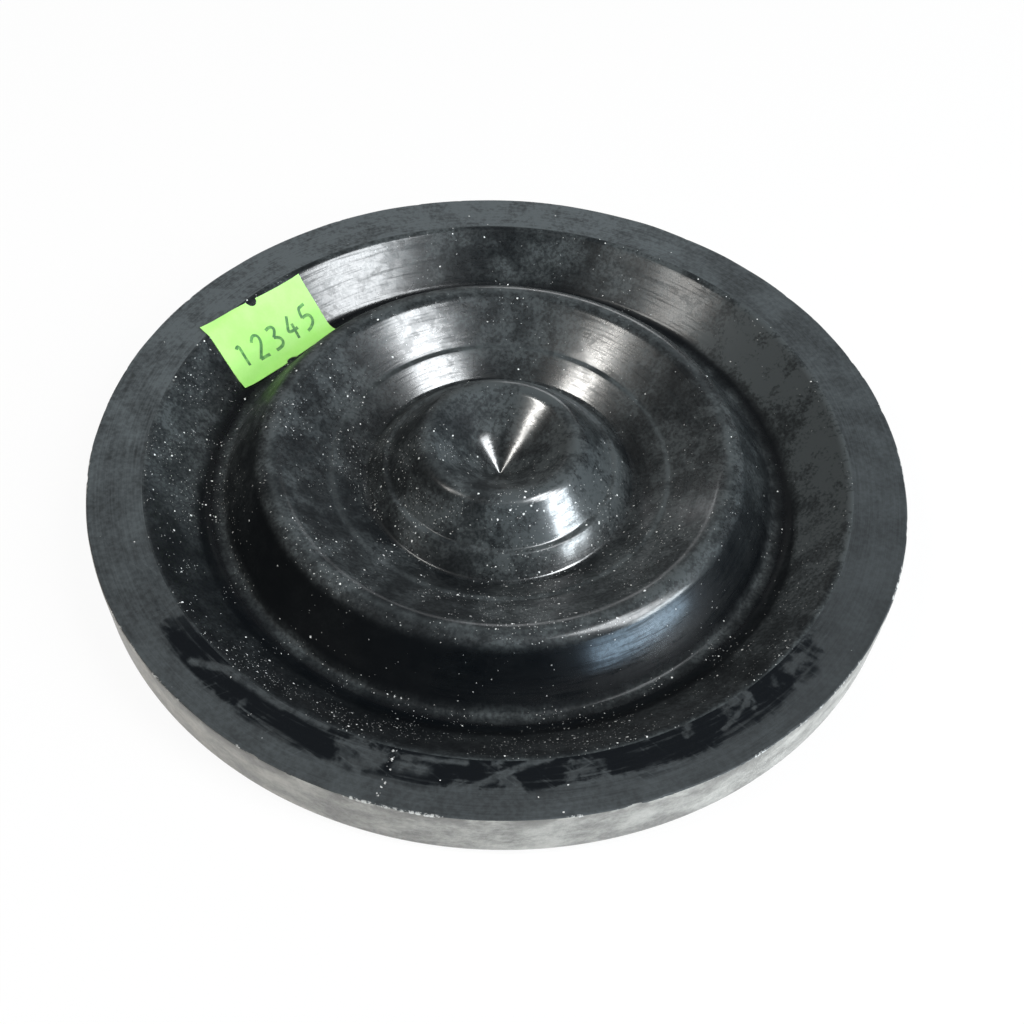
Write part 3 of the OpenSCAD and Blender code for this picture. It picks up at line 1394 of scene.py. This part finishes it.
@dataclass
class PenMarks:
    """Plain digits written on the label with a felt pen.

    A digit is a few strokes, whose points lie in a cell that is one wide and cell_h high.
    """

    label: PaperLabel
    digit_h: float = 5 * MM
    cell_h: float = 1.55
    advance: float = 4.5 * MM
    start: float = -10.2 * MM
    base: float = -3.2 * MM
    rising: float = 0.07
    pen: float = 0.32 * MM
    ink: float = 0.03 * MM
    path_steps: int = 8
    round_steps: int = 3
    digits: tuple[tuple[tuple[Plan, ...], ...], ...] = (
        (((0.25, 1.2), (0.55, 1.5), (0.5, 0.7), (0.5, 0.0)),),
        (((0.1, 1.2), (0.3, 1.55), (0.75, 1.5), (0.8, 1.05), (0.4, 0.5), (0.05, 0.05)),
         ((0.05, 0.05), (0.45, 0.1), (0.85, 0.08))),
        (((0.1, 1.45), (0.5, 1.6), (0.8, 1.25), (0.35, 0.85)),
         ((0.35, 0.85), (0.85, 0.7), (0.75, 0.1), (0.05, 0.1))),
        (((0.6, 1.55), (0.3, 1.0), (0.05, 0.55), (0.9, 0.6)), ((0.65, 1.0), (0.62, 0.5), (0.6, 0.0))),
        (((0.8, 1.55), (0.5, 1.55), (0.2, 1.5), (0.15, 0.9)),
         ((0.15, 0.9), (0.75, 1.0), (0.8, 0.2), (0.05, 0.05))),
    )

    def build(self) -> bpy.types.Object:
        """Draws every stroke, joins them, lays them on the paper and dresses them.

        Returns:
            The pen marks.
        """
        strokes = [self.stroke(points, column)
                   for column, digit in enumerate(self.digits) for points in digit]
        make_active(strokes[0])
        for stroke in strokes:
            stroke.select_set(True)
        bpy.ops.object.convert(target="MESH")
        bpy.ops.object.join()
        marks = bpy.context.object
        marks.name = marks.data.name = "pen_marks"
        for vertex in marks.data.vertices:
            along, across, rise = vertex.co
            flat = self.label.paper + self.ink * rise / self.pen
            vertex.co = self.label.place(across, -along, flat)
        bpy.ops.object.mode_set(mode="EDIT")
        bpy.ops.mesh.select_all(action="SELECT")
        bpy.ops.mesh.normals_make_consistent(inside=False)
        bpy.ops.object.mode_set(mode="OBJECT")
        bpy.ops.object.shade_smooth()
        marks.data.materials.clear()
        marks.data.materials.append(PenInk("pen_ink").material())
        return marks

    def stroke(self, points: tuple[Plan, ...], column: int) -> bpy.types.Object:
        """Draws one stroke as a smooth curve on the flat sheet.

        Args:
            points: The stroke's points in its digit's cell.
            column: Which digit of the row it belongs to.

        Returns:
            The curve, with the text's direction along X.
        """
        deselect_all()
        bpy.ops.curve.primitive_nurbs_path_add()
        stroke = bpy.context.object
        curve = stroke.data
        curve.splines.clear()
        spline = curve.splines.new("NURBS")
        spline.points.add(len(points) - 1)
        unit = self.digit_h / self.cell_h
        for target, (right, up) in zip(spline.points, points):
            x = self.start + column * self.advance + right * unit
            target.co = (x, self.base + up * unit + self.rising * x, 0.0, 1.0)
        spline.order_u = 3
        spline.use_endpoint_u = True
        spline.resolution_u = self.path_steps
        curve.dimensions = "3D"
        curve.bevel_depth = self.pen
        curve.bevel_resolution = self.round_steps
        curve.use_fill_caps = True
        return stroke


@dataclass(frozen=True)
class SoftBox:
    """An area lamp that looks at the middle of the disc.

    Its azimuth, from +X towards +Y, and its elevation are in degrees.
    """

    name: str
    azimuth: float
    elevation: float
    distance: float
    size: Plan
    radiance: float
    colour: Colour

    def build(self) -> None:
        """Adds the lamp."""
        around, up = math.radians(self.azimuth), math.radians(self.elevation)
        away = Vector((math.cos(around) * math.cos(up), math.sin(around) * math.cos(up), math.sin(up)))
        bpy.ops.object.light_add(type="AREA", location=away * self.distance)
        lamp = bpy.context.object
        lamp.name = self.name
        lamp.rotation_euler = away.to_track_quat("Z", "Y").to_euler()
        lamp.data.shape = "RECTANGLE"
        lamp.data.size, lamp.data.size_y = self.size
        lamp.data.energy = self.radiance * math.pi * self.size[0] * self.size[1]
        lamp.data.color = self.colour
        lamp.visible_camera = False


@dataclass
class Studio:
    """The pale floor, the soft light and the camera."""

    floor_r: float = 3.0
    floor_sides: int = 128
    floor_gap: float = 0.1 * MM
    floor_white: Colour = (0.88, 0.875, 0.865)
    floor_rough: float = 0.9
    floor_glow: float = 0.93
    eye: tuple[float, float, float] = (2.82 * MM, -153.95 * MM, 179.23 * MM)
    elevation: float = math.radians(50.67)
    roll: float = math.radians(3.32)
    lens: float = 41.41
    sensor: float = 36.0
    sky_near: float = 0.008
    sky_far: float = 0.065
    lamps: tuple[SoftBox, ...] = (
        SoftBox("window_right", -24, 49, 0.9, (0.3, 0.58), 13.0, (0.94, 0.975, 1.0)),
        SoftBox("window_low", -22, 23, 0.9, (0.34, 0.18), 18.0, (0.86, 0.95, 1.0)),
        SoftBox("window_sill", -34, 9, 0.9, (0.6, 0.3), 3.1, (0.55, 0.78, 1.0)),
        SoftBox("lamp_left", 200, 52, 0.9, (0.17, 0.3), 20.0, (1.0, 0.98, 0.94)),
        SoftBox("window_far", 95, 20, 1.2, (1.0, 0.3), 2.1, (0.97, 0.98, 1.0)),
    )

    def build(self) -> None:
        """Sets the floor, the lamps, the world and the camera, and how colours are shown."""
        deselect_all()
        self.lay_floor()
        for lamp in self.lamps:
            lamp.build()
        self.light_world()
        self.set_camera()
        bpy.context.scene.view_settings.view_transform = "Standard"

    def seen(self, w: Wiring) -> Socket:
        """Says whether a ray shows the background: straight, in a gloss or through glass.

        Args:
            w: The wiring of the material's tree.

        Returns:
            One where it does, and nought elsewhere.
        """
        path = w.add("ShaderNodeLightPath")
        straight = w.math("MAXIMUM", path.outputs["Is Camera Ray"], path.outputs["Is Glossy Ray"])
        return w.math("MAXIMUM", straight, path.outputs["Is Transmission Ray"])

    def lay_floor(self) -> None:
        """Lays the floor, which shows nearly white and keeps the disc's shadow."""
        bpy.ops.mesh.primitive_circle_add(
            vertices=self.floor_sides, radius=self.floor_r, fill_type="NGON",
            location=(0.0, 0.0, -self.floor_gap))
        floor = bpy.context.object
        floor.name = "floor"
        paint = bpy.data.materials.new("floor_white")
        paint.use_nodes = True
        w = Wiring(paint.node_tree)
        shader = paint.node_tree.nodes["Principled BSDF"]
        shader.inputs["Base Color"].default_value = opaque(self.floor_white)
        shader.inputs["Roughness"].default_value = self.floor_rough
        shader.inputs["Specular IOR Level"].default_value = 0.0
        glow = w.add("ShaderNodeEmission")
        mixed = w.add("ShaderNodeMixShader")
        w.feed(mixed.inputs[0], w.times(self.seen(w), self.floor_glow))
        w.feed(mixed.inputs[1], shader.outputs[0])
        w.feed(mixed.inputs[2], glow.outputs[0])
        w.feed(paint.node_tree.nodes["Material Output"].inputs["Surface"], mixed.outputs[0])
        floor.data.materials.append(paint)

    def light_world(self) -> None:
        """Fills the room: dim behind the camera, brighter behind the disc, white to look at."""
        world = bpy.data.worlds.new("room")
        world.use_nodes = True
        bpy.context.scene.world = world
        w = Wiring(world.node_tree)
        parts = w.add("ShaderNodeSeparateXYZ")
        w.feed(parts.inputs[0], w.add("ShaderNodeTexCoord").outputs["Generated"])
        room = w.span(parts.outputs["Y"], -1.0, 1.0, self.sky_near, self.sky_far)
        straight = w.add("ShaderNodeLightPath").outputs["Is Camera Ray"]
        strength = w.math("MAXIMUM", room, straight)
        w.feed(world.node_tree.nodes["Background"].inputs["Strength"], strength)
        world.node_tree.nodes["Background"].inputs["Color"].default_value = opaque((1.0, 1.0, 1.0))

    def set_camera(self) -> None:
        """Stands the camera where the photograph was taken from."""
        level = Vector((1.0, 0.0, 0.0))
        upward = Vector((0.0, math.sin(self.elevation), math.cos(self.elevation)))
        right = level * math.cos(self.roll) + upward * math.sin(self.roll)
        up = upward * math.cos(self.roll) - level * math.sin(self.roll)
        axes = Matrix((right, up, right.cross(up))).transposed()
        bpy.ops.object.camera_add(location=self.eye, rotation=axes.to_euler())
        camera = bpy.context.object
        camera.name = "camera"
        camera.data.lens = self.lens
        camera.data.sensor_width = self.sensor
        bpy.context.scene.camera = camera


def attach(piece: bpy.types.Object, node: Optional[str] = None) -> None:
    """Fastens a finished piece to the part and reports it.

    Args:
        piece: The piece.
        node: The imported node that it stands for, if any.
    """
    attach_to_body(piece, BODY)
    if node:
        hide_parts(node)
    LOG.info("%s: %d faces", piece.name, len(piece.data.polygons))


def main() -> None:
    """Builds the disc, its label and the studio."""
    logging.basicConfig(level=logging.INFO, format="%(name)s %(message)s")
    section = DiscSection.from_frame()
    attach(RubberDisc(section).build(), "diaphragm")
    label = PaperLabel(section)
    attach(label.build(), "price_label")
    attach(PenMarks(label).build())
    Studio().build()


if __name__ == "__main__":
    main()
